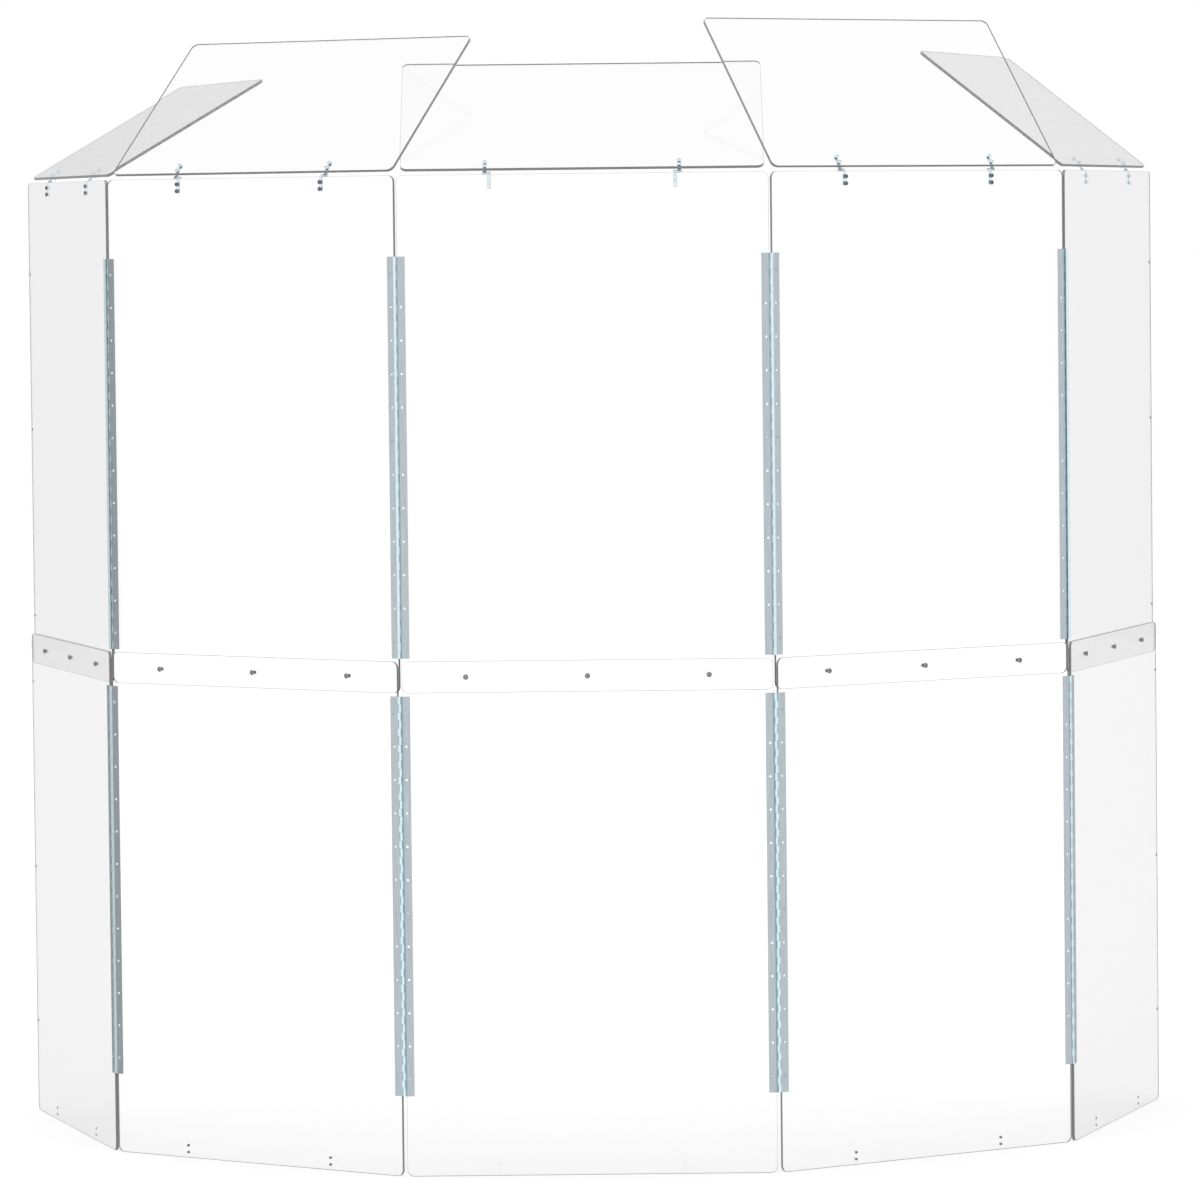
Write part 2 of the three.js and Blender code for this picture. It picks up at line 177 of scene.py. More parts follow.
# Sheets
SHEET_CORNER_RADIUS = 11 * MM
SHEET_CORNER_SEGMENTS = 10
SHEET_EDGE_EASE = 0.35 * MM
HOLE_SIDES = 24
SMALL_HOLE_RADIUS = 2.2 * MM
BOLT_HOLE_RADIUS = 2.6 * MM

# Overlap bolts
BOLT_SHANK_RADIUS = 2.1 * MM
BOLT_STAND = 2.4 * MM
BOLT_POINT = 0.5 * MM
BOLT_HEAD = ((2.4, -2.2), (3.4, -1.9), (4.1, -1.2), (4.5, -0.5), (4.5, 0))
BOLT_SOCKET = ((1.6, -4), (1.6, -1.2))
BOLT_NUT = ((3, 0), (3.2, 0.3), (2.9, 1.2), (2.3, 2.2), (2.1, 2.3))
BOLT_NUT_BORE = (-1 * MM, 4 * MM)

# Fold hinges
FOLD_LENGTH = LEAF_HIGH.z - LEAF_LOW.z
FOLD_MIDDLE = (LEAF_HIGH.z + LEAF_LOW.z) / 2
FOLD_ROWS = 12
RIVETED_ROWS = (1, 6, 12)
FOLD_CELLS = 25
FOLD_KNUCKLE = FOLD_LENGTH / (2 * FOLD_CELLS)
FOLD_LEAF_WIDTH = 17 * MM
FOLD_LEAF_THICKNESS = 1.2 * MM
FOLD_LEAF_MIDDLE = (SHEET_HIGH.y - SHEET_LOW.y + CONTACT_GAP) / 2
FOLD_TONGUE_EDGE = {"upper": 2.8 * MM, "lower": 1.8 * MM}
FOLD_SWAGE_START = 4.8 * MM
FOLD_SWAGE_END = 2.2 * MM
FOLD_BARREL_RADIUS = 2.4 * MM
FOLD_PIN_RADIUS = 1.15 * MM
FOLD_ROLL = math.radians(285)
FOLD_ROLL_STEPS = 12
FOLD_HOLE_REACH = 10 * MM
FOLD_HOLE_RADIUS = 2.0 * MM
FOLD_SINK_RADIUS = 2.9 * MM

# Blind rivets: the flange with its hollow in front, from the hollow out, and the bulb behind
RIVET_FLANGE = ((0.9, -0.5), (0.9, -1), (1.7, -1), (2.5, -0.7), (3, -0.25), (3, 0), (1.45, 0))
RIVET_BULB = ((1.45, 0), (2.3, 0.2), (2.6, 1), (2.3, 1.8), (1.2, 2.2))
RIVET_HOLLOW = 1 * MM

# Deflector hinges
STRAP_SPACING = SHEET_WIDTH / 2
STRAP_PITCH = 6.9 * MM
STRAP_WIDTH = 6.5 * MM
STRAP_LENGTH = 26 * MM
STRAP_THICKNESS = 1.2 * MM
STRAP_BARREL_RADIUS = 2.3 * MM
STRAP_ROLL = math.radians(285)
STRAP_ROLL_STEPS = 12
STRAP_DROPS = (10.5 * MM, 22 * MM)
STRAP_HOLE_INSET = 9 * MM
STRAP_HOLE_PITCH = 11.5 * MM
STRAP_TIP_SEGMENTS = 6
STRAP_PIN_RADIUS = 1.05 * MM
STRAP_PIN_CAP = ((2.0, 0), (2.0, 0.7), (1.3, 1.2))
STRAP_PIN_STAND = 0.4 * MM
SCREW_RADIUS = 1.5 * MM
SCREW_HEAD = ((1.4, -2.1), (2.5, -1.9), (3.2, -1.4), (3.6, -0.7), (3.6, 0))
SCREW_STAND = 2.2 * MM
SCREW_POINT = 0.3 * MM
CROSS_REACH = 1.9 * MM
CROSS_HALF_WIDTH = 0.4 * MM
CROSS_FRONT = 3 * MM
CROSS_FLOOR = 0.9 * MM
STRAP_NUT_ACROSS = 5 * MM
STRAP_NUT_HEIGHT = 1.8 * MM
STRAP_NUT_EASE = 0.93

ROUND_SIDES = 24
HEX_SIDES = 6
# What a screw's radius narrows to at its end
POINTED = 0.7
SMOOTH_ANGLE = math.radians(32)
TINY = 0.01 * MM
DOUBLES = TINY / 10
# How near to an axis a normal lies, as its part along that axis
ALIGNED = 0.9
WELL_ALIGNED = 0.99
ALONG_X = Matrix.Rotation(math.pi / 2, 4, "Y")
ALONG_Y = Matrix.Rotation(-math.pi / 2, 4, "X")


# Modelling helpers
def hex_colour(value):
    """An sRGB colour as linear red, green, blue and alpha."""
    channels = [int(value[i : i + 2], 16) / 255 for i in (1, 3, 5)]
    linear = [c / 12.92 if c <= 0.04045 else ((c + 0.055) / 1.055) ** 2.4 for c in channels]
    return (*linear, 1)


def add_node(tree, kind, inputs=None, **settings):
    """Adds a node. Each input is set to a value, or linked when it is given another's output."""
    made = tree.nodes.new(kind)
    for name, value in settings.items():
        setattr(made, name, value)
    for key, value in (inputs or {}).items():
        if isinstance(value, bpy.types.NodeSocket):
            tree.links.new(value, made.inputs[key])
        else:
            made.inputs[key].default_value = value
    return made


def only(piece):
    """Makes a piece the active one and the only one selected, in object mode."""
    if bpy.context.mode != "OBJECT":
        bpy.ops.object.mode_set(mode="OBJECT")
    bpy.ops.object.select_all(action="DESELECT")
    piece.select_set(True)
    bpy.context.view_layer.objects.active = piece


def block(low, high):
    """Adds a box by its lowest and highest corners."""
    bpy.ops.object.select_all(action="DESELECT")
    middle, size = (Vector(low) + Vector(high)) / 2, Vector(high) - Vector(low)
    bpy.ops.mesh.primitive_cube_add(size=1, location=middle, scale=size)
    bpy.ops.object.transform_apply()
    return bpy.context.object


def rod(radius, low, high, turn=None, centre=(0, 0, 0)):
    """Adds a plain cylinder along Z, then turned, to cut a hole with."""
    bpy.ops.object.select_all(action="DESELECT")
    bpy.ops.mesh.primitive_cylinder_add(
        vertices=HOLE_SIDES, radius=radius, depth=high - low, location=(0, 0, (low + high) / 2)
    )
    bpy.ops.object.transform_apply()
    piece = bpy.context.object
    piece.data.transform(Matrix.Translation(centre) @ (turn or Matrix()))
    return piece


def choose(piece, kind, test):
    """Goes into edit mode with the edges or faces selected whose corners and normal pass a test."""
    only(piece)
    bpy.ops.object.mode_set(mode="EDIT")
    bpy.ops.mesh.select_mode(type=kind)
    bpy.ops.mesh.select_all(action="DESELECT")
    bpy.ops.object.mode_set(mode="OBJECT")
    mesh = piece.data
    for part in mesh.edges if kind == "EDGE" else mesh.polygons:
        corners = [mesh.vertices[i].co for i in part.vertices]
        part.select = test(corners) if kind == "EDGE" else test(corners, part.normal)
    bpy.ops.object.mode_set(mode="EDIT")


def middle_of(corners):
    """The middle of some corners."""
    return sum(corners, Vector()) / len(corners)


def cut(piece, cutters):
    """Cuts other pieces out of a piece, and removes them."""
    bpy.ops.object.select_all(action="DESELECT")
    for cutter in cutters:
        cutter.select_set(True)
    bpy.context.view_layer.objects.active = cutters[0]
    if len(cutters) > 1:
        bpy.ops.object.join()
    modifier = piece.modifiers.new("cut", "BOOLEAN")
    modifier.operation, modifier.solver, modifier.object = "DIFFERENCE", "EXACT", cutters[0]
    only(piece)
    bpy.ops.object.modifier_apply(modifier=modifier.name)
    bpy.data.objects.remove(cutters[0])
    return piece


def turned(rings, sides=ROUND_SIDES):
    """Models a closed turned part along Z. Its rings are (radius, height) from end to end."""
    (radius, height), *others = rings
    bpy.ops.object.select_all(action="DESELECT")
    bpy.ops.mesh.primitive_circle_add(
        vertices=sides, radius=radius, location=(0, 0, height), fill_type="NGON"
    )
    bpy.ops.object.transform_apply()
    bpy.ops.object.mode_set(mode="EDIT")
    for next_radius, next_height in others:
        rise = {"value": (0, 0, next_height - height)}
        bpy.ops.mesh.extrude_region_move(TRANSFORM_OT_translate=rise)
        share = next_radius / radius
        bpy.ops.transform.resize(value=(share, share, 1), center_override=(0, 0, next_height))
        radius, height = next_radius, next_height
    return finished(bpy.context.object)


def profile(points, seat):
    """A turned part's rings, from radii and heights in millimetres above a seat."""
    return [(radius * MM, seat + height * MM) for radius, height in points]


def finished(piece):
    """Merges a piece's doubles, points its faces outwards and smooths its round parts."""
    only(piece)
    bpy.ops.object.mode_set(mode="EDIT")
    bpy.ops.mesh.select_all(action="SELECT")
    bpy.ops.mesh.remove_doubles(threshold=DOUBLES)
    bpy.ops.mesh.normals_make_consistent(inside=False)
    bpy.ops.object.mode_set(mode="OBJECT")
    bpy.ops.object.shade_smooth_by_angle(angle=SMOOTH_ANGLE)
    return piece


def joined(pieces):
    """Joins models that are copied together, such as the screws of one strap."""
    bpy.ops.object.select_all(action="DESELECT")
    for piece in pieces:
        piece.select_set(True)
    bpy.context.view_layer.objects.active = pieces[0]
    bpy.ops.object.join()
    return pieces[0]


def duplicate(piece, place):
    """A copy of a model, moved to a place."""
    copy = bpy.data.objects.new(piece.name, piece.data.copy())
    copy.data.transform(place)
    bpy.context.scene.collection.objects.link(copy)
    return copy


# Materials
NOISE_MIDDLE = (0.3, 0.7)
# A Mix node's sockets for colours: its factor, its two colours, and its result
MIX_COLOUR_SOCKETS = (0, 6, 7, 2)
ACRYLIC_IOR = 1.49


def new_material(name):
    """A material with an empty node tree."""
    material = bpy.data.materials.new(name)
    material.use_nodes = True
    material.node_tree.nodes.clear()
    return material


def finish_material(material, shader):
    """Joins a material's shader to its output."""
    add_node(material.node_tree, "ShaderNodeOutputMaterial", {"Surface": shader.outputs[0]})
    return material


def grain(tree, size, detail=3):
    """A noise on Object coordinates whose features have a size along each axis, in metres."""
    place = add_node(tree, "ShaderNodeTexCoord").outputs["Object"]
    scale = Vector([1 / s for s in size])
    scaled = add_node(tree, "ShaderNodeMapping", {"Vector": place, "Scale": scale})
    inputs = {"Vector": scaled.outputs[0], "Scale": 1, "Detail": detail}
    return add_node(tree, "ShaderNodeTexNoise", inputs).outputs["Fac"]


def between(tree, value, low, high):
    """Spreads a noise's middle values from one number to another."""
    start, end = NOISE_MIDDLE
    inputs = {"Value": value, "From Min": start, "From Max": end, "To Min": low, "To Max": high}
    return add_node(tree, "ShaderNodeMapRange", inputs).outputs[0]


def shades(tree, value, dark, light):
    """Spreads a noise between two colours."""
    factor, first, second, result = MIX_COLOUR_SOCKETS
    inputs = {factor: between(tree, value, 0, 1)}
    inputs |= {first: hex_colour(dark), second: hex_colour(light)}
    return add_node(tree, "ShaderNodeMix", inputs, data_type="RGBA").outputs[result]


def cast_acrylic():
    """Cast acrylic, polished: clear, with a faint haze where hands have wiped it."""
    material = new_material("cast_acrylic")
    tree = material.node_tree
    inputs = {
        "Base Color": hex_colour("#ffffff"),
        "Transmission Weight": 1,
        "IOR": ACRYLIC_IOR,
        "Roughness": between(tree, grain(tree, (90 * MM, 90 * MM, 35 * MM)), 0.0, 0.02),
    }
    return finish_material(material, add_node(tree, "ShaderNodeBsdfPrincipled", inputs))


def scraped_acrylic_edge():
    """Sawn and scraped acrylic edges, which gather grey from inside the sheet, with saw marks."""
    material = new_material("scraped_acrylic_edge")
    tree = material.node_tree
    marks = grain(tree, (1.6 * MM, 1.6 * MM, 1.6 * MM))
    relief = {"Height": marks, "Strength": 0.3, "Distance": 0.05 * MM}
    inputs = {
        "Base Color": shades(tree, marks, "#9c9c9c", "#acacac"),
        "Roughness": between(tree, marks, 0.3, 0.42),
        "IOR": ACRYLIC_IOR,
        "Normal": add_node(tree, "ShaderNodeBump", relief).outputs[0],
    }
    return finish_material(material, add_node(tree, "ShaderNodeBsdfPrincipled", inputs))


def bright_metal(name, dark, light, roughness, size):
    """A bright metal with a grain of a given size, in metres along each axis."""
    material = new_material(name)
    tree = material.node_tree
    lines = grain(tree, size)
    relief = {"Height": lines, "Strength": 0.25, "Distance": 0.02 * MM}
    inputs = {
        "Base Color": shades(tree, lines, dark, light),
        "Metallic": 1,
        "Roughness": between(tree, lines, *roughness),
        "Normal": add_node(tree, "ShaderNodeBump", relief).outputs[0],
    }
    return finish_material(material, add_node(tree, "ShaderNodeBsdfPrincipled", inputs))


CLEAR = cast_acrylic()
EDGE = scraped_acrylic_edge()

# The metals' grains: their lines and pits are finer on the real one, and drawn coarse to show
ROLLED_LINES = (1.2 * MM, 1.2 * MM, 45 * MM)
KNUCKLE_MARKS = (1 * MM, 1 * MM, 6 * MM)
DRAWN_LINES = (0.8 * MM, 0.8 * MM, 20 * MM)
TUMBLED_PITS = (2 * MM, 2 * MM, 2 * MM)
SCREW_PITS = (1.5 * MM, 1.5 * MM, 1.5 * MM)
TURNED_PITS = (1.2 * MM, 1.2 * MM, 1.2 * MM)

# Zinc-plated steel strip, rolled along its length: pale and bluish, with long soft lines
HINGE = bright_metal("rolled_zinc_strip", "#b0bac0", "#c4ced2", (0.3, 0.42), ROLLED_LINES)
# The same strip where it is rolled into knuckles, painted brighter than the strip: a painted highlight down the
# knuckles. It also paints the pin rivets' hollows and the upper free leaves' groove strip.
BARREL = bright_metal("painted_highlight_zinc_roll", "#d6eef4", "#e6f8fc", (0.22, 0.3), KNUCKLE_MARKS)
# The groove beside the knuckles on the pin leaves, painted darker than the strip: painted shade along the barrel
SHADED_GROOVE = bright_metal("painted_shade_zinc_groove", "#86a0b0", "#98b0be", (0.4, 0.5), KNUCKLE_MARKS)
# Darker copies of the strip and of its knuckles' painted highlight, used on one fold: painted shade
SHADED_FOLD = "left_outer"
SHADED_STRIP = bright_metal("painted_shade_zinc_strip", "#8e979b", "#9ea7ab", (0.36, 0.46), ROLLED_LINES)
SHADED_ROLL = bright_metal("painted_shade_zinc_roll", "#c0d0d4", "#ccdce0", (0.36, 0.46), KNUCKLE_MARKS)
# Drawn steel wire in the hinge barrels, a little darker than the strip
PIN = bright_metal("drawn_steel_wire", "#98a2aa", "#aab4bc", (0.25, 0.35), DRAWN_LINES)
# Zinc-plated pressed straps, brighter than the hinges, with faces tumbled smooth
STRAP = bright_metal("pressed_zinc_strap", "#d8e6ee", "#eaf6fc", (0.16, 0.26), TUMBLED_PITS)
# Zinc-plated screws, darker than the straps, tumbled in the plating barrel. Also painted into the free rivets'
# hollows as painted shade
SCREW = bright_metal("zinc_plated_screw", "#626a72", "#7c848c", (0.25, 0.38), SCREW_PITS)
# Plain machined bolts and nuts, grey where the plating is thin
BOLT = bright_metal("machined_bolt_steel", "#828588", "#989b9e", (0.28, 0.4), TURNED_PITS)


def coat(piece, material):
    """Gives a piece one material."""
    piece.data.materials.clear()
    piece.data.materials.append(material)
    return piece


# Models, each made once
def sheet_holes():
    """The holes of a panel sheet as (x, z, radius): hinge rivets, strap screws and bolts."""
    holes = []
    for side in (-1, 1):
        for row in RIVETED_ROWS:
            x = side * (HALF_PITCH - FOLD_HOLE_REACH)
            holes.append((x, FOLD_MIDDLE + row_offset(row), SMALL_HOLE_RADIUS))
        for step in (0, 1):
            z = SHEET_HIGH.z - STRAP_HOLE_INSET - step * STRAP_HOLE_PITCH
            holes.append((side * STRAP_SPACING / 2, z, SMALL_HOLE_RADIUS))
    return holes + [(place * BOLT_SPACING, 0, BOLT_HOLE_RADIUS) for place in (-1, 0, 1)]


def row_offset(row):
    """A hole row's height above the hinge's middle, the rows counted from the sheet's free end."""
    return FOLD_LENGTH / 2 - (row - 0.5) * FOLD_LENGTH / FOLD_ROWS


def clear_sheet(low, high, holes):
    """A clear sheet with rounded corners, eased edges and drilled holes, standing along X and Z."""
    piece = block(low, high)
    choose(piece, "EDGE", lambda corners: (corners[0] - corners[1]).xz.length < TINY)
    bpy.ops.mesh.bevel(offset=SHEET_CORNER_RADIUS, segments=SHEET_CORNER_SEGMENTS)
    choose(piece, "EDGE", lambda corners: abs(corners[0].y - corners[1].y) < TINY)
    bpy.ops.mesh.bevel(offset=SHEET_EDGE_EASE, segments=1)
    bpy.ops.object.mode_set(mode="OBJECT")
    past = SHEET_CORNER_RADIUS
    cut(piece, [rod(r, low.y - past, high.y + past, ALONG_Y, (x, 0, z)) for x, z, r in holes])
    coat(piece, CLEAR).data.materials.append(EDGE)
    for face in piece.data.polygons:
        face.material_index = 0 if abs(face.normal.y) > WELL_ALIGNED else 1
    return finished(piece)


def leaf_side(level):
    """1 where a leaf lies behind its barrel, as the upper ones do, and -1 where in front."""
    return 1 if level == "upper" else -1


def fold_cell(level):
    """One knuckle of a leaf and the tongue above it, reaching to +X from the pin.

    A lower leaf lies in front of its barrel, so its tongues may reach over the barrel.
    """
    side = leaf_side(level)
    middle, half = side * FOLD_LEAF_MIDDLE, FOLD_LEAF_THICKNESS / 2
    knuckle = FOLD_KNUCKLE
    low, high = (FOLD_SWAGE_START, middle - half, 0), (FOLD_LEAF_WIDTH, middle + half, 2 * knuckle)
    piece = block(low, high)
    only(piece)
    bpy.ops.object.mode_set(mode="EDIT")
    knuckle_ends = (KNUCKLE_GAP, knuckle - KNUCKLE_GAP)
    tongue_ends = (knuckle + TONGUE_GAP, 2 * knuckle - TONGUE_GAP)
    for height in (*knuckle_ends, *tongue_ends):
        bpy.ops.mesh.select_all(action="SELECT")
        bpy.ops.mesh.bisect(plane_co=(0, 0, height), plane_no=UP)

    def at_barrel(low, high):
        def test(corners, normal):
            return normal.x < -ALIGNED and low < middle_of(corners).z < high
        return test

    choose(piece, "FACE", at_barrel(*tongue_ends))
    tongue = {"value": (FOLD_TONGUE_EDGE[level] - FOLD_SWAGE_START, 0, 0)}
    bpy.ops.mesh.extrude_region_move(TRANSFORM_OT_translate=tongue)
    choose(piece, "FACE", at_barrel(*knuckle_ends))
    rise = side * (FOLD_BARREL_RADIUS - half) - middle
    swage = {"value": (FOLD_SWAGE_END - FOLD_SWAGE_START, rise, 0)}
    bpy.ops.mesh.extrude_region_move(TRANSFORM_OT_translate=swage)
    bpy.ops.mesh.extrude_region_move(TRANSFORM_OT_translate={"value": (-FOLD_SWAGE_END, 0, 0)})
    roll = {"angle": -side * FOLD_ROLL, "center": (0, 0, 0), "axis": (0, 0, 1)}
    bpy.ops.mesh.spin(steps=FOLD_ROLL_STEPS, **roll)

    def at_cell_end(corners, normal):
        height, reach = middle_of(corners).z, middle_of(corners).x
        at_end = height < TINY or height > 2 * knuckle - TINY
        return abs(normal.z) > ALIGNED and at_end and reach > FOLD_BARREL_RADIUS

    choose(piece, "FACE", at_cell_end)
    bpy.ops.mesh.delete(type="FACE")
    bpy.ops.object.mode_set(mode="OBJECT")
    return piece


def fold_leaf(level, groove):
    """A leaf of a long hinge: its cells in a row, closed at the ends, with countersunk holes.

    The strip next to the barrel is the groove, with a material of its own: painted shade on a pin leaf, the
    knuckles' painted highlight on an upper free leaf, the plain strip on a lower free leaf.
    """
    piece = fold_cell(level)
    coat(piece, HINGE).data.materials.append(BARREL)
    piece.data.materials.append(groove)
    # Faces inside the barrel's radius take the knuckles' painted highlight; the strip beside it takes the groove's
    # material
    for face in piece.data.polygons:
        inmost = max(piece.data.vertices[i].co.x for i in face.vertices)
        if inmost < FOLD_SWAGE_START + TINY:
            face.material_index = 1 if inmost < FOLD_BARREL_RADIUS + TINY else 2
    cells = piece.modifiers.new("cells", "ARRAY")
    cells.count, cells.use_relative_offset, cells.use_constant_offset = FOLD_CELLS, False, True
    cells.constant_offset_displace = (0, 0, 2 * FOLD_KNUCKLE)
    cells.use_merge_vertices, cells.merge_threshold = True, TINY
    bpy.ops.object.modifier_apply(modifier=cells.name)
    bpy.ops.object.mode_set(mode="EDIT")
    bpy.ops.mesh.select_all(action="SELECT")
    bpy.ops.mesh.fill_holes(sides=0)
    bpy.ops.object.mode_set(mode="OBJECT")
    piece.data.transform(Matrix.Translation((0, 0, -FOLD_LENGTH / 2)))
    return finished(cut(finished(piece), fold_hole_cutters(level)))


def fold_hole_cutters(level):
    """The shapes that cut a leaf's holes, wide at its front face and narrow through the rest."""
    front, back = -FOLD_LEAF_THICKNESS / 2 - TINY, FOLD_LEAF_THICKNESS
    rings = [(FOLD_SINK_RADIUS, front), (FOLD_HOLE_RADIUS, 0), (FOLD_HOLE_RADIUS, back)]
    cutters = [turned(rings) for row in range(FOLD_ROWS)]
    for row, cutter in enumerate(cutters, 1):
        place = (FOLD_HOLE_REACH, leaf_side(level) * FOLD_LEAF_MIDDLE, row_offset(row))
        cutter.data.transform(Matrix.Translation(place) @ ALONG_Y)
    return cutters


def fold_pin():
    """The wire pin of a long hinge, its ends peened round."""
    half, r = FOLD_LENGTH / 2, FOLD_PIN_RADIUS
    rings = [(r / 2, -half), (r, -half + r / 2), (r, half - r / 2), (r / 2, half)]
    return coat(turned(rings), PIN)


def blind_rivet(hollow):
    """A blind rivet along Y from its leaf's front: a domed flange, and a bulb behind the sheet."""
    back = FOLD_LEAF_THICKNESS + SHEET_HIGH.y - SHEET_LOW.y + 2 * CONTACT_GAP
    rivet = coat(turned(profile(RIVET_FLANGE, 0) + profile(RIVET_BULB, back)), HINGE)
    # The faces in the flange's hollow take the hollow's material: painted shade on the free side, a painted
    # highlight on the pin side
    rivet.data.materials.append(hollow)
    for face in rivet.data.polygons:
        corners = [rivet.data.vertices[i].co for i in face.vertices]
        inside = max(c.xy.length for c in corners) < RIVET_HOLLOW and middle_of(corners).z < 0
        face.material_index = 1 if inside else 0
    rivet.data.transform(ALONG_Y)
    return rivet


def leaf_rivets(rivet, level, turned_over):
    """The three rivets of a leaf, at their rows, which are counted from the sheet's free end."""
    up = -1 if turned_over != (level == "lower") else 1
    front = leaf_side(level) * FOLD_LEAF_MIDDLE - FOLD_LEAF_THICKNESS / 2
    places = [(FOLD_HOLE_REACH, front, up * row_offset(row)) for row in RIVETED_ROWS]
    return joined([duplicate(rivet, Matrix.Translation(place)) for place in places])


def hinge_strap():
    """A strap of a deflector hinge, hanging from its pivot and rolled round it."""
    side, back = STRAP_WIDTH / 2, -STRAP_BARREL_RADIUS
    piece = block((-side, back, -STRAP_LENGTH), (side, back + STRAP_THICKNESS, 0))
    choose(piece, "FACE", lambda corners, normal: normal.z > ALIGNED)
    bpy.ops.mesh.spin(
        steps=STRAP_ROLL_STEPS, angle=-STRAP_ROLL, center=(0, 0, 0), axis=(1, 0, 0)
    )

    def at_tip(corners):
        along_y = (corners[0] - corners[1]).xz.length < TINY
        return along_y and corners[0].z < TINY - STRAP_LENGTH

    choose(piece, "EDGE", at_tip)
    bpy.ops.mesh.bevel(offset=side - TINY, segments=STRAP_TIP_SEGMENTS)
    bpy.ops.object.mode_set(mode="OBJECT")
    past = STRAP_BARREL_RADIUS
    cut(piece, [rod(SCREW_RADIUS, 2 * back, past, ALONG_Y, (0, 0, -drop)) for drop in STRAP_DROPS])
    return finished(coat(piece, STRAP))


def strap_pin():
    """A deflector hinge's pin, from one strap through the next, with a round cap on its end."""
    start, end = -STRAP_WIDTH / 2, STRAP_PITCH + STRAP_WIDTH / 2 + STRAP_PIN_STAND
    r = STRAP_PIN_RADIUS
    pin = turned([(r / 2, start), (r, start + r / 2), (r, end), *profile(STRAP_PIN_CAP, end)])
    pin.data.transform(ALONG_X)
    return coat(pin, STRAP)


def cross_screw(seat, nut_seat):
    """A pan-head screw along Y with a cross recess, its head to the front."""
    shank, end = SCREW_RADIUS - TINY, nut_seat + SCREW_STAND
    rings = [(shank, seat), (shank, end - SCREW_POINT), (SCREW_RADIUS * POINTED, end)]
    screw = turned(profile(SCREW_HEAD, seat) + rings)
    screw.data.transform(ALONG_Y)
    front, floor = seat - CROSS_FRONT, seat - CROSS_FLOOR
    for x, z in ((CROSS_REACH, CROSS_HALF_WIDTH), (CROSS_HALF_WIDTH, CROSS_REACH)):
        cut(screw, [block((-x, front, -z), (x, floor, z))])
    return finished(screw)


def hex_nut(seat, across, height, bore, material):
    """A hexagon nut along Y with chamfered corners, bored for its screw."""
    corner = across / math.sqrt(3)
    eased, ease = corner * STRAP_NUT_EASE, height / 8
    rings = [(corner, seat + ease), (corner, seat + height - ease)]
    nut = turned([(eased, seat), *rings, (eased, seat + height)], sides=HEX_SIDES)
    nut.data.transform(ALONG_Y)
    cut(nut, [rod(bore, seat - height, seat + 2 * height, ALONG_Y)])
    return finished(coat(nut, material))


def overlap_bolt():
    """A button-head bolt along Y through both sheets, with a hexagon socket in its head."""
    seat = -SHEET_HIGH.y - CONTACT_GAP
    end = SHEET_HIGH.y + CONTACT_GAP + BOLT_STAND
    shank = BOLT_SHANK_RADIUS
    rings = [(shank, seat), (shank, end - BOLT_POINT), (shank * POINTED, end)]
    bolt = turned(profile(BOLT_HEAD, seat) + rings)
    bolt.data.transform(ALONG_Y)
    socket = turned(profile(BOLT_SOCKET, seat), sides=HEX_SIDES)
    socket.data.transform(ALONG_Y)
    return finished(coat(cut(bolt, [socket]), BOLT))


def round_nut():
    """The small round nut of an overlap bolt, tapered to its free end."""
    seat = SHEET_HIGH.y + CONTACT_GAP
    nut = turned(profile(BOLT_NUT, seat))
    nut.data.transform(ALONG_Y)
    start, end = BOLT_NUT_BORE
    cut(nut, [rod(BOLT_SHANK_RADIUS - TINY, seat + start, seat + end, ALONG_Y)])
    return finished(coat(nut, BOLT))


# Putting the models in place
def fit(model, name, place, body, stands_for=None):
    """Copies a model to its place as a piece that rides on a body, and may stand for a node."""
    piece = duplicate(model, place)
    piece.name = name
    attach(piece, body)
    if stands_for:
        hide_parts(stands_for)
    return piece


def place_sheets():
    """The ten panel sheets and the five deflectors."""
    sheet = clear_sheet(SHEET_LOW, SHEET_HIGH, sheet_holes())
    strap_x = STRAP_SPACING / 2 + STRAP_PITCH
    holes = [(side * strap_x, drop, SMALL_HOLE_RADIUS) for side in (-1, 1) for drop in STRAP_DROPS]
    deflector = clear_sheet(DEFLECTOR_LOW, DEFLECTOR_HIGH, holes)
    for panel in PANELS:
        for level in ("upper", "lower"):
            node, name = f"{panel}_{level}_sheet", f"{panel}_{level}_clear_sheet"
            place = half_place(panel, level)
            fit(sheet, name, place, BODY_OF[node], node)
        node, name = f"{panel}_deflector_sheet", f"{panel}_clear_deflector"
        place = deflector_place(panel)
        fit(deflector, name, place, BODY_OF[node], node)
    return [sheet, deflector]


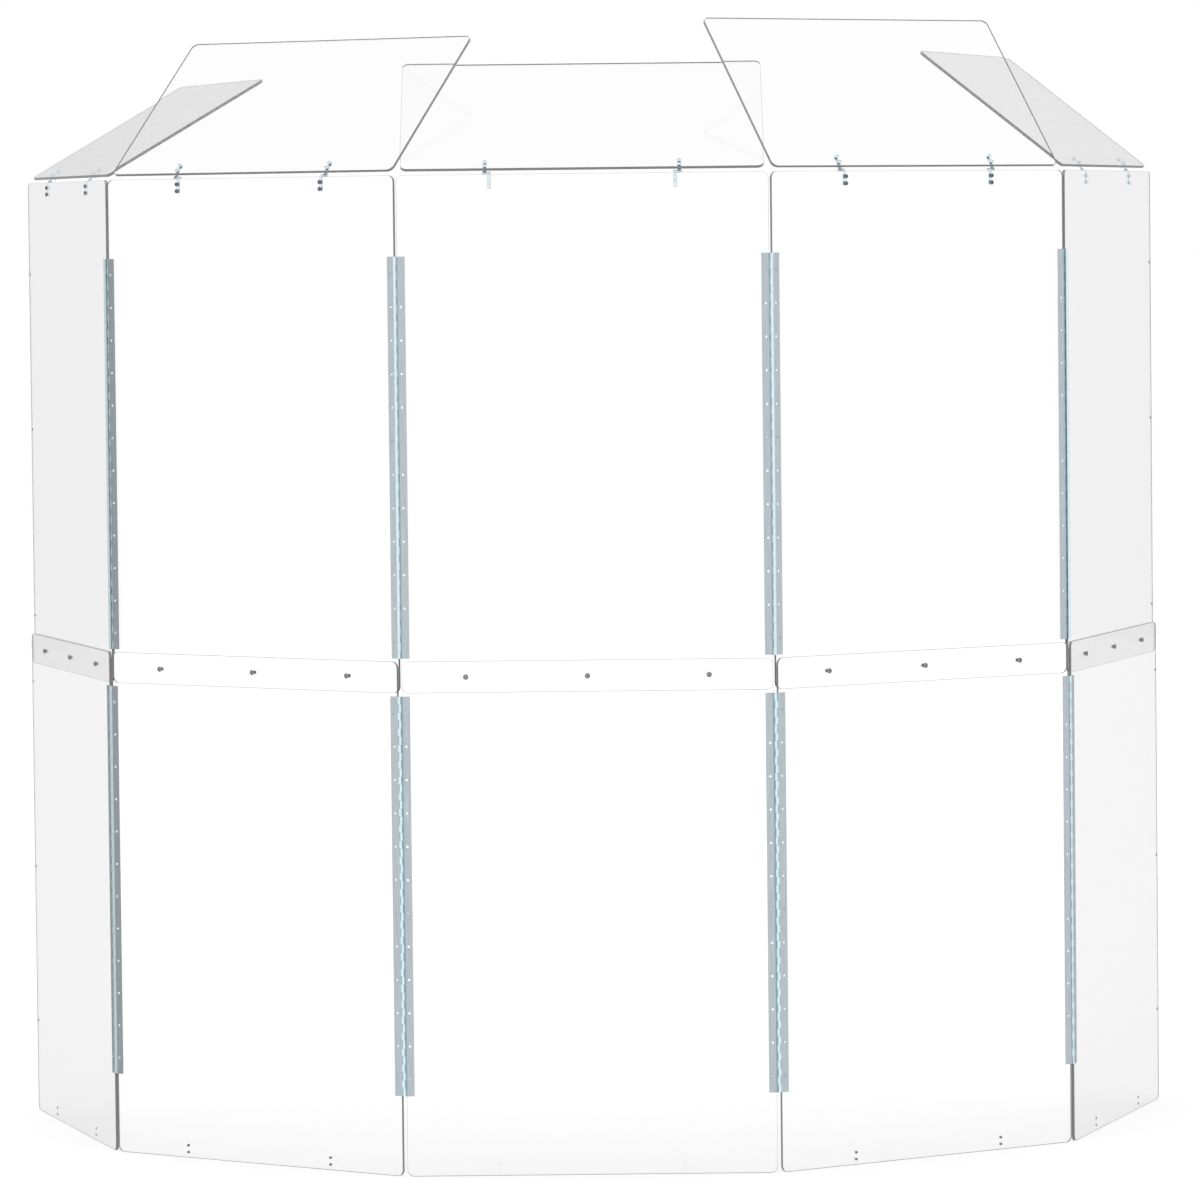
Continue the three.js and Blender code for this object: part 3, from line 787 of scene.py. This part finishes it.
def place_fold_hinges():
    """The leaves, pins and rivets of the eight long hinges."""
    pin = fold_pin()
    # The free rivets' hollows are painted dark as painted shade; the pin rivets' hollows take the knuckles'
    # painted highlight
    rivets = {"pin": blind_rivet(BARREL), "free": blind_rivet(SCREW)}
    # Painted shade in the pin leaves' groove, and a painted highlight in the upper free leaves' groove
    grooves = {"upper": {"pin": SHADED_GROOVE, "free": BARREL}, "lower": {"pin": SHADED_GROOVE, "free": HINGE}}
    models = [pin, *rivets.values()]
    for level in ("upper", "lower"):
        height = FOLD_MIDDLE if level == "upper" else -FOLD_MIDDLE
        for kind, groove in grooves[level].items():
            leaf = fold_leaf(level, groove)
            row = {over: leaf_rivets(rivets[kind], level, over) for over in (False, True)}
            models += [leaf, *row.values()]
            for fold, sides in FOLDS.items():
                panel, edge = sides[kind]
                node = f"{fold}_{level}_hinge_{kind}_leaf"
                name = f"{fold}_{level}_{kind}_side"
                at_axis = Matrix.Translation((edge * HALF_PITCH, -AXIS_SETOUT, height))
                place = panel_place(panel) @ at_axis
                body = BODY_OF[node]
                if kind == "pin":
                    fit(pin, f"{fold}_{level}_pin", place, body)
                if edge > 0:
                    place = place @ TURNED_OVER
                piece = fit(leaf, f"{name}_leaf", place, body, node)
                # On this fold the leaves' metals are swapped for the darker copies: painted shade
                if fold == SHADED_FOLD:
                    for i, metal in enumerate(piece.data.materials):
                        piece.data.materials[i] = SHADED_STRIP if metal == HINGE else SHADED_ROLL
                fit(row[edge > 0], f"{name}_rivets", place, body)
    return models


def place_deflector_hinges():
    """The straps, pins, screws and nuts of the ten small hinges."""
    strap, pin = hinge_strap(), strap_pin()
    nut_seat = STRAP_THICKNESS - STRAP_BARREL_RADIUS
    face = -STRAP_BARREL_RADIUS - CONTACT_GAP
    thickness = {"pin": SHEET_HIGH.y - SHEET_LOW.y, "free": DEFLECTOR_HIGH.y - DEFLECTOR_LOW.y}
    drops = [Matrix.Translation((0, 0, -drop)) for drop in STRAP_DROPS]
    nut = hex_nut(nut_seat, STRAP_NUT_ACROSS, STRAP_NUT_HEIGHT, SCREW_RADIUS - 2 * TINY, STRAP)
    nuts = joined([duplicate(nut, drop) for drop in drops])
    models = [strap, pin, nut, nuts]
    screws = {}
    for kind, sheet in thickness.items():
        for metal in (SCREW, STRAP):
            screw = coat(cross_screw(face - sheet - CONTACT_GAP, nut_seat), metal)
            screws[kind, metal] = joined([duplicate(screw, drop) for drop in drops])
            models += [screw, screws[kind, metal]]
    for panel in PANELS:
        for side, word in ((-1, "left"), (1, "right")):
            name = f"{panel}_deflector_{word}"
            hung = Matrix.Translation((side * STRAP_SPACING / 2, 0, 0))
            raised = Matrix.Translation((side * (STRAP_SPACING / 2 + STRAP_PITCH), 0, 0))
            places = {
                "pin": pivot_place(panel) @ hung,
                "free": deflector_place(panel) @ raised @ TURNED_OVER,
            }
            for kind, place in places.items():
                node, piece_name = f"{name}_{kind}_strap", f"{name}_{kind}_side"
                body = BODY_OF[node]
                fit(strap, f"{piece_name}_strap", place, body, node)
                metal = STRAP if kind == "free" or panel in BRIGHT_SCREW_PANELS else SCREW
                row = screws[kind, metal]
                fit(row, f"{piece_name}_screws", place, body)
                fit(nuts, f"{piece_name}_nuts", place, body)
            at = places["pin"] if side > 0 else places["pin"] @ HALF_TURN
            fit(pin, f"{name}_hinge_pin", at, BODY_OF[f"{name}_pin_strap"])
    return models


def place_bolts():
    """The bolts and nuts of the five overlaps. The wing panels' bolts stand for no node."""
    bolt, nut = overlap_bolt(), round_nut()
    for panel in PANELS:
        for place, word in ((-1, "left"), (0, "middle"), (1, "right")):
            at = panel_place(panel) @ Matrix.Translation((place * BOLT_SPACING, 0, 0))
            node = f"{panel}_overlap_bolt_{word}"
            stands_for = node if node in BODY_OF else None
            fit(bolt, f"{panel}_bolt_{word}", at, f"{panel}_panel", stands_for)
            fit(nut, f"{panel}_bolt_nut_{word}", at, f"{panel}_panel")
    return [bolt, nut]


# The studio
FLOOR_SIZE = 30
FLOOR_DROP = 0.2 * MM
FLOOR_GLOW = 0.66
# What the studio's brightness falls to behind the shield, and where along Y it starts and ends
STUDIO_BACK = 0.725
STUDIO_FALL = (-0.2, 0.95)
LAMP_PLACE = (-2.5, -4.0, 5.0)
LAMP_SIZE = 3
LAMP_WATTS = 20


def math_node(tree, operation, first, second):
    """Two values joined by one of a Math node's operations."""
    return add_node(tree, "ShaderNodeMath", {0: first, 1: second}, operation=operation).outputs[0]


def largest(tree, first, *others):
    """The largest of some values."""
    for value in others:
        first = math_node(tree, "MAXIMUM", first, value)
    return first


def make_floor():
    """A pale floor that keeps the shadow and meets the white backdrop without a line.

    What is mirrored in metal or in a sheet sees through it to the studio.
    """
    bpy.ops.object.select_all(action="DESELECT")
    bpy.ops.mesh.primitive_plane_add(size=FLOOR_SIZE, location=(0, 0, -FLOOR_DROP))
    floor = bpy.context.object
    floor.name = "floor"
    bpy.ops.object.transform_apply()
    material = new_material("pale_floor")
    tree = material.node_tree
    path = add_node(tree, "ShaderNodeLightPath").outputs
    seen = largest(tree, path["Is Camera Ray"], path["Is Glossy Ray"], path["Is Transmission Ray"])
    paint = {
        "Base Color": hex_colour("#acacac"),
        "Roughness": 0.9,
        "Specular IOR Level": 0,
        "Emission Color": hex_colour("#ffffff"),
        "Emission Strength": math_node(tree, "MULTIPLY", seen, FLOOR_GLOW),
    }
    paint = add_node(tree, "ShaderNodeBsdfPrincipled", paint).outputs[0]
    clear = add_node(tree, "ShaderNodeBsdfTransparent").outputs[0]
    mirrored = math_node(tree, "GREATER_THAN", path["Glossy Depth"], 0.5)
    mixed = {0: mirrored, 1: paint, 2: clear}
    coat(floor, finish_material(material, add_node(tree, "ShaderNodeMixShader", mixed)))


def make_backdrop():
    """White straight on and through glass. Mirrored, the studio greys a little to the back."""
    world = bpy.data.worlds.new("studio")
    world.use_nodes = True
    tree = world.node_tree
    tree.nodes.clear()
    direction = add_node(tree, "ShaderNodeTexCoord").outputs["Generated"]
    back = add_node(tree, "ShaderNodeSeparateXYZ", {0: direction}).outputs["Y"]
    start, end = STUDIO_FALL
    fall = {"Value": back, "From Min": start, "From Max": end, "To Min": 1, "To Max": STUDIO_BACK}
    studio = add_node(tree, "ShaderNodeMapRange", fall).outputs[0]
    path = add_node(tree, "ShaderNodeLightPath").outputs
    straight = math_node(tree, "SUBTRACT", path["Is Transmission Ray"], path["Glossy Depth"])
    strength = largest(tree, studio, path["Is Camera Ray"], path["Is Diffuse Ray"], straight)
    white = {"Color": hex_colour("#ffffff"), "Strength": strength}
    light = add_node(tree, "ShaderNodeBackground", white)
    add_node(tree, "ShaderNodeOutputWorld", {"Surface": light.outputs[0]})
    bpy.context.scene.world = world


def make_lamp(name, place, size, power):
    """A large soft lamp, aimed at the shield's middle."""
    lamp = bpy.data.objects.new(name, bpy.data.lights.new(name, "AREA"))
    lamp.data.energy, lamp.data.size = power, size
    aim = ((cad_low + cad_high) / 2 - Vector(place)).to_track_quat("-Z", "Y")
    lamp.matrix_world = Matrix.Translation(place) @ aim.to_matrix().to_4x4()
    bpy.context.scene.collection.objects.link(lamp)


MODELS = place_sheets() + place_fold_hinges() + place_deflector_hinges() + place_bolts()
for model in MODELS:
    bpy.data.objects.remove(model)

make_floor()
make_backdrop()
make_lamp("front_lamp", LAMP_PLACE, LAMP_SIZE, LAMP_WATTS)
bpy.context.scene.view_settings.view_transform = "Standard"
